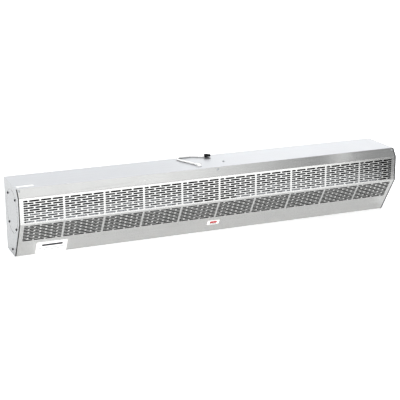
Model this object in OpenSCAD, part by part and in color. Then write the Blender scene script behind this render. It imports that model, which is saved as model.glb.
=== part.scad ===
// Air curtain of the 60 inch class: a stainless case that hangs over a doorway,
// takes air in through its slotted front and blows it down through a slot in
// its underside. Millimetres. X runs along the case, -Y is the front with the
// grille, +Z is up. The origin is the middle of the underside.

/* [Case] */
// Length of the case over the two end plates
case_l = 1524; // [1200:1:1830]
// Height of the case
case_h = 270; // [262:1:290]
// Depth from the upright grille to the back
case_d = 208; // [204:1:230]
// How far the top edge of the front cover is set back
brow_setback = 21; // [12:1:30]
// Height of the slanted blank band under the top edge
brow_h = 30; // [26:1:36]
// Height of the upright slotted part of the front cover
face_h = 96; // [84:1:104]
// Depth of the flat underside, behind the slanted part of the cover
sole_d = 116; // [112:1:120]
// Thickness of the front cover and of the top, back and bottom panels
skin_t = 1.2; // [0.8:0.1:1.6]
// Thickness of the end plates
end_t = 1.5; // [1:0.1:2]
// Depth of the flange that is turned in round each end plate
flange_d = 16; // [12:1:18]
// Width of the bare strip between the cover's side edge and the case end
edge_strip = 4.5; // [2:0.5:5]
// Outer radius of the sheet metal bends
bend_r = 3; // [2.5:0.5:5]
// Width of the top panel's slanted flange behind the cover
panel_flange = 22; // [16:1:28]
// Depth of the hems where the top and bottom panels meet the back panel
panel_hem = 14; // [10:1:20]
// Depth of the cover's hem under the case
cover_hem = 8; // [5:0.5:10]

/* [Grille] */
// Length of a full slot
slot_l = 36.5; // [24:0.5:50]
// Height of a slot
slot_h = 5; // [3:0.1:5.6]
// Metal left between two slots of one row
bridge = 5.8; // [4:0.1:10]
// Full slots in each row of a panel, next to one short slot
slots_full = 3; // [2:1:4]
// Rows of slots in each of the two grilles
row_n = 10; // [5:1:11]
// Blank strip between two slotted panels
divider_w = 7; // [5:0.5:20]
// Least blank margin beside the outer panels
grille_side = 15; // [12:1:40]
// From a bend down to the middle of the first row below it
row_top = 12; // [9:0.5:14]
// From the middle of the last upright row down to the lower bend
row_bottom = 9; // [7:0.5:14]

/* [Fan wheels] */
// Distance from the top of the case down to the wheel axis
axis_drop = 100; // [96:1:102]
// How far the wheel axis lies in front of the middle of the case
axis_fore = 6; // [3:1:8]
// Radius of the cross-flow wheels
wheel_r = 57; // [52:0.5:58]
// Blades round a wheel
blade_n = 30; // [24:1:36]
// Thickness of a blade
blade_t = 0.9; // [0.6:0.1:1.2]
// Radial depth of the blade ring
blade_d = 13; // [9:0.5:15]
// How far a blade leans forward at the rim, in degrees
blade_lean = 10; // [4:1:14]
// Thickness of the wheel's discs
disc_t = 1.5; // [1:0.1:2.5]
// Distance between the wheel's support rings
bay_l = 79; // [60:1:100]
// Gap from the wheel's ends to the side plates of its housing
wheel_end_gap = 4; // [3.5:0.5:8]
// Gap from the wheel to the tongue
tongue_gap = 4; // [3:0.5:6]
// Gap from the wheel to the start of the scroll
scroll_gap = 6; // [5.5:0.5:8]
// Thickness of the sheet metal of the housings and the nozzle
housing_t = 1; // [0.8:0.1:1.5]
// From the end of a housing and the nozzle to the end of the case
housing_end = 31; // [30:1:45]
// Diameter of the stub shaft at a wheel's outer end
stub_d = 12; // [10:0.5:14]
// Outer radius of the bearing bushes
bush_r = 10; // [8.5:0.5:11]
// Outer radius of the rubber rings round the bearing bushes
seat_r = 18; // [15:0.5:20]

/* [Motor] */
// Width of the motor bay between the two housings
bay_w = 172; // [170:1:200]
// Radius of the motor shell
motor_r = 52; // [46:0.5:53]
// Length of the motor shell between its end bells
motor_l = 100; // [90:1:102]
// Length of an end bell, up to its hub
bell_l = 12; // [9:0.5:12]
// Diameter of the motor shaft
shaft_d = 16; // [12:0.5:18]
// Outer radius of the rubber rings that carry the motor
ring_r = 26; // [22:0.5:30]
// Width of the rubber rings
ring_w = 12; // [9:0.5:12]
// Thickness of the motor cradle
cradle_t = 2.5; // [2:0.1:4]
// Half the height of the cradle
cheek_h = 40; // [38:1:42]
// Thickness of the clamp bands
clamp_t = 1.5; // [1:0.1:2]
// Radial clearance of a shaft or rod in its bearing
run_gap = 0.06; // [0.02:0.01:0.1]
// Outer radius of the rubber hubs that drive the wheels
hub_r = 18; // [14:0.5:20]
// Length of the rubber hubs
hub_l = 14; // [10:0.5:18]

/* [Nozzle] */
// Distance from the front edge of the flat underside back to the discharge slot
nozzle_set = 18; // [17:1:20]
// Clear depth of the discharge slot, front to back
nozzle_d = 64; // [62:1:66]
// Height of the nozzle's walls above the bottom panel
nozzle_h = 58; // [54:1:60]
// Width of an air vane
vane_w = 44; // [30:1:46]
// Thickness of a vane's blade
vane_t = 1.5; // [1:0.1:2]
// Diameter of the rod that a vane turns on
vane_rod_d = 8; // [6:0.5:9]
// Height of the vanes' rods above the underside
vane_z = 30; // [28:1:32]
// Thickness of the plates that hold the vanes' ends
bracket_t = 2; // [1.5:0.1:3]
// Wall of the vanes' nylon bushes
bush_t = 2; // [1.5:0.1:2.5]

/* [Fixings] */
// Diameter of the head of a case screw
head_d = 8; // [6:0.5:9]
// Height of the head of a case screw
head_h = 2.4; // [1.5:0.1:3]
// Diameter of a case screw's shank
shank_d = 4; // [3:0.1:4.5]
// Clearance on the diameter of a screw in its hole
screw_gap = 0.4; // [0.2:0.1:0.8]
// Distance from an end of the case to the nearer holes for the wall bolts
wall_inset = 76; // [62:1:160]
// Distance between the upper and lower holes for the wall bolts
wall_z = 203; // [180:1:210]
// Diameter of the holes for the wall bolts
wall_hole_d = 9; // [7:0.5:13]

/* [Lead] */
// Diameter of the white lead on the top panel
lead_d = 7; // [5:0.5:8]
// Length of the tapered bushing that the lead comes out of
bushing_l = 22; // [20:1:26]
// Diameter of the connector's larger half
socket_d = 13; // [11:0.5:16]

/* [Hidden] */

$fn = 48;
// How far a cutting shape runs past the face that it cuts
past = 1;
// Gap left between soft pieces and what they lie on
seat_gap = 0.3;
// How far two shapes of one solid reach into each other
fuse = 0.01;

// The case seen from its end, as points in Y and Z from the top front edge round to the top back edge
front_y = -case_d / 2;
back_y = case_d / 2;
brow_z = case_h - brow_h;
bend_z = brow_z - face_h;
sole_y = back_y - sole_d;
profile = [[front_y + brow_setback, case_h], [front_y, brow_z], [front_y, bend_z],
  [sole_y, 0], [back_y, 0], [back_y, case_h]];
brow_a = atan2(brow_setback, brow_h);
brow_l = norm([brow_setback, brow_h]);
slope_a = atan2(sole_y - front_y, bend_z);
inner_x = case_l / 2 - end_t;
cover_x = case_l / 2 - edge_strip;

// The cover's top screws: where they sit along X and how far up the slanted band
cover_screw_in = 10;
cover_screw_drop = 9;
cover_screw_x = [cover_screw_in - case_l / 2, 0, case_l / 2 - cover_screw_in];
cover_screw_up = brow_l - cover_screw_drop;
// How much of a screw stands out behind the sheets that it joins
screw_out = 3;

// The grille's panels: bricks of full slots, each row filled up by a short one
short_l = (slot_l - bridge) / 2;
panel_w = slots_full * (slot_l + bridge) + short_l;
panel_n = floor((case_l - 2 * grille_side + divider_w) / (panel_w + divider_w));
grille_w = panel_n * (panel_w + divider_w) - divider_w;
row_pitch = (face_h - row_top - row_bottom) / (row_n - 1);

// The wheels, their housings and the motor between them, as distances from the middle
axis_y = -axis_fore;
axis_z = case_h - axis_drop;
housing_in = bay_w / 2;
housing_out = case_l / 2 - housing_end;
wheel_in = housing_in + housing_t + wheel_end_gap;
wheel_out = housing_out - housing_t - wheel_end_gap;
wheel_l = wheel_out - wheel_in;
bay_n = round(wheel_l / bay_l);
side_hole_r = hub_r + 8;
shell_x = motor_l / 2;
bell_x = shell_x + bell_l;
bell_hub_r = shaft_d / 2 + 5;
ring_mid = bell_x + ring_w / 2;

// How far the blades stay inside the rim, the rings reach inside the blades, and the hubs stand out
blade_recess = 0.5;
ring_lip = 3;
hub_grip = 4;

// The motor's inner parts, the round rim and the air slots of its bells, and its clamp bands
stator_d = 12;
rotor_gap = 1;
rotor_end_gap = 6;
bell_rim = 4;
bell_round = 8;
bell_slot_w = 8;
bell_slot_in = bell_hub_r + 9;
bell_slot_l = 18;
clamp_w = 8;
clamp_ear = 12;

// The bearing plates inside the end plates, as distances along X from the left end inwards
bearing_flange_r = 81;
bead_w = 1.6;
bead_depth = 0.5;
dish_t = 1.5;
dish_r = 62;
dish_foot = 8;
dish_depth = 16;
dish_x = dish_depth - inner_x;
seat_l = 11;

// The bronze bushes and the stub shafts that run in them
bush_out = 2;
bush_flange_t = 1.5;
bush_flange_w = 2;
stub_in = 6;
stub_flange_t = 2.5;
stub_flange_w = 10;

// The nozzle in the underside
nozzle_top = skin_t + nozzle_h;
nozzle_y0 = sole_y + nozzle_set;
nozzle_y1 = nozzle_y0 + nozzle_d;
nozzle_x = housing_out;
nozzle_foot = 8;

// The vanes, their bushes, the hanger in the middle and the posts out to the end plates
vane_y = [nozzle_y0 + nozzle_d / 3, nozzle_y0 + nozzle_d * 2 / 3];
vane_end_gap = 3;
vane_notch = 5;
vane_core = 1;
vane_flange_t = 1.2;
vane_flange_w = 1.5;
hanger_t = 2;
hanger_drop = 8;
post_wall = 2;
post_bore_l = 12;

// The scroll's spiral, as angles from +Y towards +Z, and the tongue below the wheel
scroll_start_a = 115;
scroll_r0 = wheel_r + scroll_gap;
scroll_r1 = nozzle_y1 - axis_y;
tongue_tip_a = -118;
tongue_knee_a = -100;
tongue_lip = 1;
tongue_foot = 14;

// End plate screws: half the side of the square round the wheel axis, and the one by the nozzle
screw_square = 54;
foot_screw = [nozzle_y0 + 10, 20];

// The wiring inside the motor bay
box_x = [-72, 48];
box_y = [-62, 8];
box_h = 30;
box_t = 1;
box_top = case_h - skin_t;

// The barrier strip in the terminal box
block_x = -10;
block_w = 22;
block_base = 7;
block_wall = 1;
block_wall_h = 7;
pole_l = 11;
pole_n = 5;

// The capacitor behind the motor, with its strap and its two tabs
cap_r = 17;
cap_l = 76;
cap_y = back_y - skin_t - cap_r - clamp_t;
cap_z = case_h - 38;
cap_strap_w = 14;
cap_strap_foot = 3;
tab_l = 8;
tab_t = 0.8;
tab_w = 5;
tab_pitch = 12;

// The motor's wires leave the terminal box, bend down and enter a boss on the motor's shell
loom_d = 7;
loom_x = 24;
loom_z = box_top - 18.8;
loom_r = 16;
boss_y = axis_y + 36;
boss_top = axis_z + motor_r;
boss_wall = 3;
loom_yz = concat([[box_y[1], loom_z]],
  [for (a = [0:22.5:90]) [boss_y - loom_r * (1 - sin(a)), loom_z - loom_r * (1 - cos(a))]],
  [[boss_y, boss_top]]);

// The lead's route over the top panel, as X and Y
lead_xy = [[-62, -18], [-67.5, -5], [-73, 8.5], [-78.5, 21.5], [-84, 34.5], [-89.5, 47.5], [-94.5, 60.5],
  [-97, 74], [-92.5, 87], [-82.5, 96], [-69, 99.5], [-52, 99.5], [-35, 99.5], [-22, 96.5], [-11, 87.5],
  [-0.5, 79], [13, 75.5]];
lead_z = case_h + lead_d / 2 + seat_gap;
lead_last = len(lead_xy) - 1;

// The bushing that the lead comes out of
bushing_wall = 1.5;
bushing_skirt = 1;
bushing_tip = 1;
bushing_flange_t = 1.5;
bushing_flange_w = 4;
bushing_foot = 3;
lead_in_r = lead_d / 2 + bushing_wall;

// The connector at the lead's end
socket_l = 13;
grip_n = 3;
grip_w = 2.6;
grip_pitch = 4;
grip_x = 1.5;
grip_depth = 0.9;
plug_d = 10.5;
plug_l = 11;
plug_nose = 3;

// The heading from one point of the lead's route to the next
function lead_heading(i) = atan2(lead_xy[i + 1][1] - lead_xy[i][1], lead_xy[i + 1][0] - lead_xy[i][0]);
lead_start_a = lead_heading(0);
lead_end_a = lead_heading(lead_last - 1);
lead_hole = lead_xy[0] - bushing_l * [cos(lead_start_a), sin(lead_start_a)];

function unit(v) = v / norm(v);
function turned(v) = [-v[1], v[0]];
function reverse(p) = [for (i = [len(p) - 1:-1:0]) p[i]];

// One corner of a path moved to its left by d, to where its two edges would meet
function mitre(a, v, b, d) = let (m = turned(unit(v - a)), n = turned(unit(b - v)))
  v + d * (m + n) / (1 + m * n);

// A closed outline drawn in by d
function inset(p, d) = let (n = len(p))
  [for (i = [0:n - 1]) mitre(p[(i + n - 1) % n], p[i], p[(i + 1) % n], d)];

// An open path moved to its left by d
function beside(p, d) = let (n = len(p))
  [p[0] + d * turned(unit(p[1] - p[0])),
   for (i = [1:n - 2]) mitre(p[i - 1], p[i], p[i + 1], d),
   p[n - 1] + d * turned(unit(p[n - 1] - p[n - 2]))];

// One corner of a path drawn as an arc of radius r in n steps
function arc_corner(a, v, b, r, n) = let (
    u = unit(v - a), w = unit(b - v), turn = atan2(cross(u, w), u * w),
    start = v - u * r * tan(abs(turn) / 2))
  [for (k = [0:n]) let (f = abs(turn) * k / n)
    start + r * sin(f) * u + r * (1 - cos(f)) * sign(turn) * turned(u)];

// An open path with its inner corners rounded
function rounded(p, r, n = 4) =
  [p[0], for (i = [1:len(p) - 2]) each arc_corner(p[i - 1], p[i], p[i + 1], r, n), p[len(p) - 1]];

// A point in Y and Z at a distance and an angle from the wheel axis
function polar(r, a) = [axis_y + r * cos(a), axis_z + r * sin(a)];

// Draws a shape that is given in Y and Z, from x0 to x1
module along_x(x0, x1) translate([x0, 0, 0]) rotate([90, 0, 90]) linear_extrude(x1 - x0) children();

// A bent sheet of thickness t to the left of a path in Y and Z
module sheet(path, t, x0, x1) along_x(x0, x1) polygon(concat(path, reverse(beside(path, t))));

// Draws its children at the left end and, mirrored, at the right end
module both_ends() {
  children();
  mirror([1, 0, 0]) children();
}

// Turns an outline, with the radius in X and the distance along the case in Y, about the wheel axis
module about_axis() translate([0, axis_y, axis_z]) rotate([0, 90, 0]) rotate_extrude() children();

// A ring about the wheel axis from x0 to x1
module axis_ring(x0, x1, r_in, r_out) about_axis() translate([r_in, x0]) square([r_out - r_in, x1 - x0]);

// A pan-head screw that points along +Z, with its head below the plane z = 0
module pan_screw(l) {
  translate([0, 0, -head_h]) cylinder(h = head_h / 2, d1 = head_d * 0.7, d2 = head_d);
  translate([0, 0, -head_h / 2]) cylinder(h = head_h / 2, d = head_d);
  cylinder(h = l, d = shank_d);
}

// Stands on the upper bend, with +Z running up the slanted band
module on_brow() translate([0, front_y, brow_z]) rotate([-brow_a, 0, 0]) children();

// Hangs from the lower bend, with -Z running down the slanted part of the cover
module on_slope() translate([0, front_y, bend_z]) rotate([slope_a, 0, 0]) children();

// A tube swept along a route, with a flat end at each end
module tube(route, d, sides, up) {
  n = len(route);
  heading = [for (i = [0:n - 1]) unit(route[min(i + 1, n - 1)] - route[max(i - 1, 0)])];
  rings = [for (i = [0:n - 1]) let (s = unit(cross(heading[i], up)), t = cross(s, heading[i]))
    for (k = [0:sides - 1]) let (a = 360 * (k + 0.5) / sides) route[i] + d / 2 * (cos(a) * s + sin(a) * t)];
  walls = [for (i = [0:n - 2], k = [0:sides - 1]) let (a = i * sides + k, b = i * sides + (k + 1) % sides)
    each [[a, a + sides, b], [b, a + sides, b + sides]]];
  ends = [[for (k = [0:sides - 1]) k], [for (k = [sides - 1:-1:0]) (n - 1) * sides + k]];
  polyhedron(points = rings, faces = concat(walls, ends));
}

// A closed outline with all its corners rounded
function rounded_loop(p, r, n = 4) = let (c = len(p))
  [for (i = [0:c - 1]) each arc_corner(p[(i + c - 1) % c], p[i], p[(i + 1) % c], r, n)];

// ---- Case ----

// One slot, with round ends, from x0 to x1
module slot(x0, x1, y) {
  translate([x0 + slot_h / 2, y - slot_h / 2]) square([x1 - x0 - slot_h, slot_h]);
  for (x = [x0 + slot_h / 2, x1 - slot_h / 2]) translate([x, y]) circle(d = slot_h, $fn = 16);
}

// One row of a panel: full slots, and a short one at the left or at the right
module slot_row(x0, y, short_first) {
  step = slot_l + bridge;
  long_x = short_first ? x0 + short_l + bridge : x0;
  short_x = short_first ? x0 : x0 + slots_full * step;
  for (k = [0:slots_full - 1]) slot(long_x + k * step, long_x + k * step + slot_l, y);
  slot(short_x, short_x + short_l, y);
}

// The slots of a whole grille, with its first row below y = 0
module slot_field() {
  for (i = [0:panel_n - 1], r = [0:row_n - 1])
    slot_row(i * (panel_w + divider_w) - grille_w / 2, -row_top - r * row_pitch, r % 2 == 0);
}

// Cuts its children's outline back through the sheet whose outside is the plane y = 0
module punch() translate([0, 2 * skin_t, 0]) rotate([90, 0, 0]) linear_extrude(3 * skin_t) children();

// The holes for the screws along the cover's top edge, through the two or three sheets there
module cover_screw_holes() for (x = cover_screw_x) on_brow() translate([x, -past, cover_screw_up])
  rotate([-90, 0, 0]) cylinder(h = 4 * skin_t + 2 * past, d = shank_d + screw_gap);

// The slotted stainless front: slanted band, upright grille, slanted grille, plain band and hem
module front_cover() {
  path = rounded([profile[0], profile[1], profile[2], profile[3], [sole_y + cover_hem, 0]], bend_r);
  color("gainsboro") difference() {
    sheet(path, skin_t, -cover_x, cover_x);
    translate([0, front_y, brow_z]) punch() slot_field();
    on_slope() punch() slot_field();
    cover_screw_holes();
  }
}

module cover_screws() color("silver") for (x = cover_screw_x)
  on_brow() translate([x, 0, cover_screw_up]) rotate([-90, 0, 0]) pan_screw(2 * skin_t + end_t + screw_out);

// The hole for the lead's bushing through a sheet of thickness t whose top is at z
module lead_way(z, t) translate([lead_hole[0], lead_hole[1], z - t - past])
  cylinder(h = t + 2 * past, r = lead_in_r);

// Clears the end plates' flanges out of a panel's folded edges
module flange_notches(y0, y1, z0, z1) both_ends()
  translate([inner_x - flange_d - past, y0, z0]) cube([flange_d + 2 * past, y1 - y0, z1 - z0]);

// The top runs from a slanted flange behind the cover to a hem behind the back panel
module top_panel() {
  band = inset(profile, skin_t);
  down = unit(band[1] - band[0]);
  crease = band[0] + skin_t * [tan(brow_a), 1];
  path = [crease + panel_flange * down, crease, [back_y, case_h]];
  hem_y = back_y - 2 * skin_t;
  color("whitesmoke") difference() {
    union() {
      sheet(path, -skin_t, -inner_x, inner_x);
      along_x(-inner_x, inner_x) translate([hem_y, case_h - panel_hem]) square([skin_t, panel_hem - skin_t]);
    }
    flange_notches(front_y, band[0][0] + skin_t, case_h - panel_flange - past, case_h - skin_t);
    flange_notches(hem_y - past, back_y, case_h - panel_hem - past, case_h - skin_t);
    lead_way(case_h, skin_t);
    cover_screw_holes();
  }
}

module back_panel() color("lightgray") difference() {
  along_x(-inner_x, inner_x) translate([back_y - skin_t, 0]) square([skin_t, case_h - skin_t]);
  both_ends() for (z = [-1, 1])
    translate([wall_inset - case_l / 2, back_y + past, case_h / 2 + z * wall_z / 2]) rotate([90, 0, 0])
      cylinder(h = skin_t + 2 * past, d = wall_hole_d);
}

// The underside, with the discharge slot and a hem that stands behind the back panel
module bottom_panel() {
  start_y = sole_y + cover_hem + seat_gap;
  hem_y = back_y - 2 * skin_t;
  color("lightgray") difference() {
    along_x(-inner_x, inner_x) union() {
      translate([start_y, 0]) square([back_y - skin_t - start_y, skin_t]);
      translate([hem_y, 0]) square([skin_t, panel_hem]);
    }
    translate([-nozzle_x, nozzle_y0, -past]) cube([2 * nozzle_x, nozzle_d, skin_t + 2 * past]);
    flange_notches(hem_y - past, back_y, skin_t, panel_hem + past);
  }
}

// Where an end plate's screws go, as Y and Z: four round the wheel axis, one by the nozzle
end_screws = [for (y = [-1, 1], z = [-1, 1]) [axis_y + y * screw_square, axis_z + z * screw_square],
  foot_screw];

// The left end plate: a flat plate, a flange turned in under the panels, and a round bead
module end_plate() color("gainsboro") difference() {
  union() {
    along_x(-case_l / 2, -inner_x) polygon(rounded_loop(profile, bend_r));
    along_x(-inner_x, flange_d - inner_x) difference() {
      polygon(inset(profile, skin_t));
      polygon(inset(profile, skin_t + end_t));
    }
  }
  for (p = end_screws) translate([-case_l / 2 - past, p[0], p[1]]) rotate([0, 90, 0])
    cylinder(h = end_t + 2 * past, d = shank_d + screw_gap);
  axis_ring(-case_l / 2 - past, bead_depth - case_l / 2, bearing_flange_r - bead_w, bearing_flange_r);
  cover_screw_holes();
}

module left_end_plate() end_plate();
module right_end_plate() mirror([1, 0, 0]) end_plate();

module end_plate_screws() color("dimgray") both_ends() for (p = end_screws)
  translate([-case_l / 2, p[0], p[1]]) rotate([0, 90, 0]) pan_screw(end_t + dish_t + screw_out);

// ---- Bearings at the case ends ----

// A dished plate on the inside of the left end plate, with a seat for the rubber ring
module bearing_plate() color("silver") difference() {
  about_axis() polygon([
    [dish_r, -inner_x], [bearing_flange_r, -inner_x],
    [bearing_flange_r, dish_t - inner_x], [dish_r + dish_t, dish_t - inner_x],
    [seat_r + dish_foot, dish_x + dish_t], [seat_r + dish_t, dish_x + dish_t],
    [seat_r + dish_t, dish_x + seat_l], [seat_r, dish_x + seat_l],
    [seat_r, dish_x], [seat_r + dish_foot, dish_x]]);
  for (y = [-1, 1], z = [-1, 1])
    translate([-inner_x - past, axis_y + y * screw_square, axis_z + z * screw_square]) rotate([0, 90, 0])
      cylinder(h = dish_t + 2 * past, d = shank_d + screw_gap);
}

module left_bearing_plate() bearing_plate();
module right_bearing_plate() mirror([1, 0, 0]) bearing_plate();

module bearing_rings() color("black") both_ends() axis_ring(dish_x, dish_x + seat_l, bush_r, seat_r);

// Bronze bushes with a flange at the wheel side, bored to run on the stub shafts
module bearing_bushes() color("darkgoldenrod") both_ends() {
  axis_ring(dish_x - bush_out, dish_x + seat_l, stub_d / 2 + run_gap, bush_r);
  axis_ring(dish_x + seat_l, dish_x + seat_l + bush_flange_t, stub_d / 2 + run_gap, bush_r + bush_flange_w);
}

// ---- Housings of the two wheels ----

// The scroll's inner face: a baffle down from the top, the spiral, and a straight run to the nozzle
function spiral(n) = [for (k = [0:n]) let (f = k / n)
  polar(scroll_r0 + (scroll_r1 - scroll_r0) * f, scroll_start_a * (1 - f))];
function tongue_path() = [polar(wheel_r + tongue_gap + tongue_lip, tongue_tip_a),
  polar(wheel_r + tongue_gap, tongue_knee_a), [nozzle_y0, nozzle_top + tongue_foot], [nozzle_y0, nozzle_top]];

module scroll() {
  s = spiral(18);
  color("silver") sheet(concat([[s[0][0], case_h - skin_t]], s, [[nozzle_y1, nozzle_top]]),
    housing_t, -housing_out, -housing_in);
}
module tongue() color("silver") sheet(tongue_path(), -housing_t, -housing_out, -housing_in);

// A flat side of a housing: it follows the scroll and the tongue, and bulges round the wheel in front
module housing_side(x0) {
  front_a0 = 360 + tongue_tip_a;
  front_r = wheel_r + tongue_gap + tongue_lip;
  front = [for (k = [1:9]) polar(front_r, front_a0 + (scroll_start_a - front_a0) * k / 10)];
  color("silver") difference() {
    along_x(x0, x0 + housing_t) polygon(concat(spiral(18), [[nozzle_y1, nozzle_top]],
      reverse(tongue_path()), front));
    axis_ring(x0 - past, x0 + housing_t + past, 0, side_hole_r);
  }
}

module left_scroll() scroll();
module right_scroll() mirror([1, 0, 0]) scroll();
module left_tongue() tongue();
module right_tongue() mirror([1, 0, 0]) tongue();
module left_outer_side() housing_side(-housing_out);
module left_inner_side() housing_side(-housing_in - housing_t);
module right_inner_side() mirror([1, 0, 0]) left_inner_side();
module right_outer_side() mirror([1, 0, 0]) left_outer_side();

// ---- Nozzle and air vanes ----

module nozzle_front_wall() color("silver") sheet([[nozzle_y0 - nozzle_foot, skin_t], [nozzle_y0, skin_t],
  [nozzle_y0, nozzle_top]], housing_t, -nozzle_x, nozzle_x);
module nozzle_rear_wall() color("silver") sheet([[nozzle_y1, nozzle_top], [nozzle_y1, skin_t],
  [nozzle_y1 + 2 * nozzle_foot, skin_t]], housing_t, -nozzle_x, nozzle_x);

// The lid over the nozzle between the two housings
module nozzle_bridge() color("silver") translate([-housing_in, nozzle_y0 - housing_t, nozzle_top])
  cube([2 * housing_in, nozzle_d + 2 * housing_t, housing_t]);

// Plates that close the nozzle's ends and hold the vanes, each with a tube out to the end plate
module vane_brackets() color("silver") both_ends() difference() {
  union() {
    along_x(-nozzle_x - bracket_t, -nozzle_x) translate([nozzle_y0 - housing_t, skin_t])
      square([nozzle_d + 2 * housing_t, nozzle_h]);
    translate([-inner_x, foot_screw[0], foot_screw[1]]) rotate([0, 90, 0])
      cylinder(h = inner_x - nozzle_x - bracket_t + fuse, r = shank_d / 2 + post_wall);
  }
  for (y = vane_y) translate([-nozzle_x - bracket_t - past, y, vane_z]) rotate([0, 90, 0])
    cylinder(h = bracket_t + 2 * past, r = vane_rod_d / 2 + bush_t);
  translate([-inner_x - past, foot_screw[0], foot_screw[1]]) rotate([0, 90, 0])
    cylinder(h = post_bore_l, d = shank_d);
}

// Nylon bushes in the brackets, with a flange on the nozzle's side
module vane_bushes() color("ivory") both_ends() for (y = vane_y)
  translate([-nozzle_x - bracket_t, y, vane_z]) rotate([0, 90, 0]) difference() {
    union() {
      cylinder(h = bracket_t, r = vane_rod_d / 2 + bush_t);
      translate([0, 0, bracket_t]) cylinder(h = vane_flange_t, r = vane_rod_d / 2 + bush_t + vane_flange_w);
    }
    translate([0, 0, -past]) cylinder(h = bracket_t + vane_flange_t + 2 * past, r = vane_rod_d / 2 + run_gap);
  }

// The plate in the middle of the nozzle that steadies both vanes
module vane_hanger() color("silver") difference() {
  along_x(-hanger_t / 2, hanger_t / 2) translate([nozzle_y0, vane_z - hanger_drop])
    square([nozzle_d, nozzle_top - vane_z + hanger_drop]);
  for (y = vane_y) translate([-past - hanger_t / 2, y, vane_z]) rotate([0, 90, 0])
    cylinder(h = hanger_t + 2 * past, r = vane_rod_d / 2 + run_gap);
}

// A long blade on a rod, notched in the middle where the hanger holds the rod
module vane(y) color("lightsteelblue") {
  along_x(-nozzle_x - bracket_t, nozzle_x + bracket_t) translate([y, vane_z]) circle(d = vane_rod_d);
  both_ends() along_x(-nozzle_x + vane_end_gap, -vane_notch) translate([y, vane_z]) difference() {
    translate([-vane_t / 2, -vane_w / 2]) square([vane_t, vane_w]);
    circle(r = vane_rod_d / 2 - vane_core);
  }
}
module front_vane() vane(vane_y[0]);
module rear_vane() vane(vane_y[1]);

// ---- Wheels and shafts ----

// One curved blade, as Y and Z from the wheel axis, leaning forward at the rim
module blade() {
  edge = [for (k = [0:3]) let (f = k / 3, r = wheel_r - blade_recess - f * (blade_d - blade_recess))
    r * [cos(blade_lean * pow(1 - f, 2)), sin(blade_lean * pow(1 - f, 2))]];
  polygon(concat(edge, reverse(beside(edge, blade_t))));
}

// The left cross-flow wheel: long blades held by thin rings, a hub plate at each end
module wheel() {
  x0 = -wheel_out;
  step = wheel_l / bay_n;
  rim_in = wheel_r - blade_d - ring_lip;
  color("lightgray") {
    translate([0, axis_y, axis_z]) along_x(x0, -wheel_in) for (k = [0:blade_n - 1])
      rotate(360 * k / blade_n) blade();
    for (i = [1:bay_n - 1])
      axis_ring(x0 + i * step - disc_t / 2, x0 + i * step + disc_t / 2, rim_in, wheel_r);
    axis_ring(x0, x0 + disc_t, stub_d / 2, wheel_r);
    axis_ring(-wheel_in - disc_t, -wheel_in, hub_r, wheel_r);
  }
}
module left_wheel() wheel();
module right_wheel() mirror([1, 0, 0]) wheel();

// The rubber hub that the motor shaft drives the left wheel by
module drive_hub() color("black")
  axis_ring(-wheel_in - hub_l + hub_grip, -wheel_in + hub_grip, shaft_d / 2, hub_r);
module left_drive_hub() drive_hub();
module right_drive_hub() mirror([1, 0, 0]) drive_hub();

// The stub shaft at the left wheel's outer end, with its riveted flange
module stub_shaft() color("silver") {
  axis_ring(dish_x - bush_out, -wheel_out + disc_t + stub_in, 0, stub_d / 2);
  axis_ring(-wheel_out - stub_flange_t, -wheel_out, 0, stub_d / 2 + stub_flange_w);
}
module left_stub_shaft() stub_shaft();
module right_stub_shaft() mirror([1, 0, 0]) stub_shaft();

// ---- Motor ----

module motor_shaft() color("silver")
  axis_ring(-wheel_in - hub_l + hub_grip, wheel_in + hub_l - hub_grip, 0, shaft_d / 2);
module motor_rotor() color("dimgray")
  axis_ring(-shell_x + rotor_end_gap, shell_x - rotor_end_gap, shaft_d / 2, motor_r - stator_d - rotor_gap);

// The motor's shell and stator, with the boss that its wires enter by
module motor_shell() color("dimgray") difference() {
  union() {
    axis_ring(-shell_x, shell_x, motor_r - stator_d, motor_r);
    translate([loom_x, boss_y, axis_z]) cylinder(h = boss_top - axis_z, r = loom_d / 2 + boss_wall);
  }
  axis_ring(-shell_x + past, shell_x - past, 0, motor_r - stator_d);
}

// The left end bell, with slots for cooling air round its hub
module motor_bell() color("gray") difference() {
  about_axis() polygon([
    [shaft_d / 2 + run_gap, -shell_x], [motor_r, -shell_x],
    [motor_r, -shell_x - bell_rim], [motor_r - bell_round, -bell_x],
    [bell_hub_r, -bell_x], [bell_hub_r, -bell_x - ring_w],
    [shaft_d / 2 + run_gap, -bell_x - ring_w]]);
  for (a = [0:45:315]) translate([0, axis_y, axis_z]) rotate([a, 0, 0])
    translate([-bell_x - past, -bell_slot_w / 2, bell_slot_in])
      cube([bell_l / 2 + 2 * past, bell_slot_w, bell_slot_l]);
}
module left_motor_bell() motor_bell();
module right_motor_bell() mirror([1, 0, 0]) motor_bell();

module motor_rings() color("black") both_ends() axis_ring(-bell_x - ring_w, -bell_x, bell_hub_r, ring_r);

// A base on the back panel with a cheek under each rubber ring
module motor_cradle() {
  base_y = back_y - skin_t - cradle_t;
  color("dimgray") {
    translate([-bell_x - ring_w, base_y, axis_z - cheek_h])
      cube([2 * (bell_x + ring_w), cradle_t, 2 * cheek_h]);
    both_ends() along_x(-ring_mid - cradle_t / 2, -ring_mid + cradle_t / 2) difference() {
      translate([axis_y, axis_z - cheek_h]) square([base_y - axis_y + fuse, 2 * cheek_h]);
      translate([axis_y, axis_z]) circle(r = ring_r);
    }
  }
}

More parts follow.
